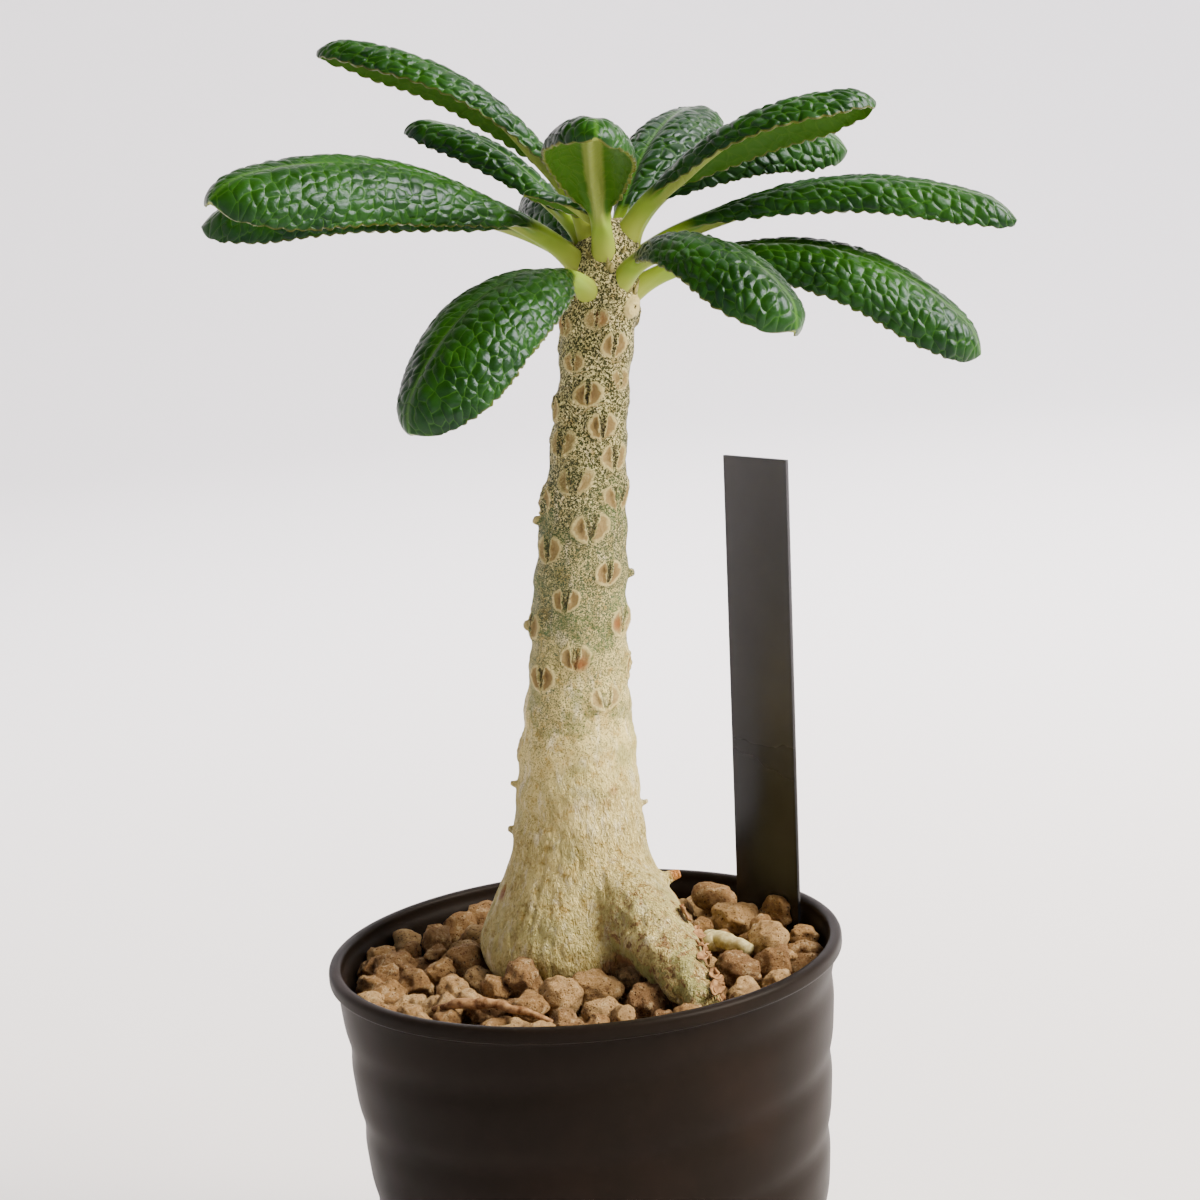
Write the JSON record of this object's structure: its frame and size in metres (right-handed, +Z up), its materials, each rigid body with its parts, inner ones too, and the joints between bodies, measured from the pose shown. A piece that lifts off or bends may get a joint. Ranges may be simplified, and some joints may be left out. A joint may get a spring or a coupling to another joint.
{
  "type": "potted dorstenia",
  "caption": "Small succulent tree with a swollen foot, scarred trunk and a crown of ribbed, bumpy leaves, in a round plastic pot of clay granules with a plain plant tag.",
  "frame": {"origin": "middle of the pot's foot, on the surface that the pot stands on", "axes": "+Z up along the pot's axis, -Y towards the viewer of the picture, +X to the viewer's right, where the plant tag stands"},
  "size_m": [0.1372, 0.0943, 0.2379],
  "materials": {
    "black_plastic": "satin",
    "clay_granules": "matte",
    "tan_bark": "matte",
    "leaf_green": "satin",
    "black_tag_plastic": "satin"
  },
  "bodies": {
    "root": {"pot": "black_plastic", "soil": "clay_granules", "stem": "tan_bark", "plant_tag": "black_tag_plastic", "leaf_01": "leaf_green", "leaf_02": "leaf_green", "leaf_03": "leaf_green", "leaf_04": "leaf_green", "leaf_05": "leaf_green", "leaf_06": "leaf_green", "leaf_07": "leaf_green", "leaf_08": "leaf_green", "leaf_09": "leaf_green", "leaf_10": "leaf_green", "leaf_11": "leaf_green", "leaf_12": "leaf_green", "leaf_13": "leaf_green", "young_leaf_1": "leaf_green", "young_leaf_2": "leaf_green"}
  },
  "joints": []
}
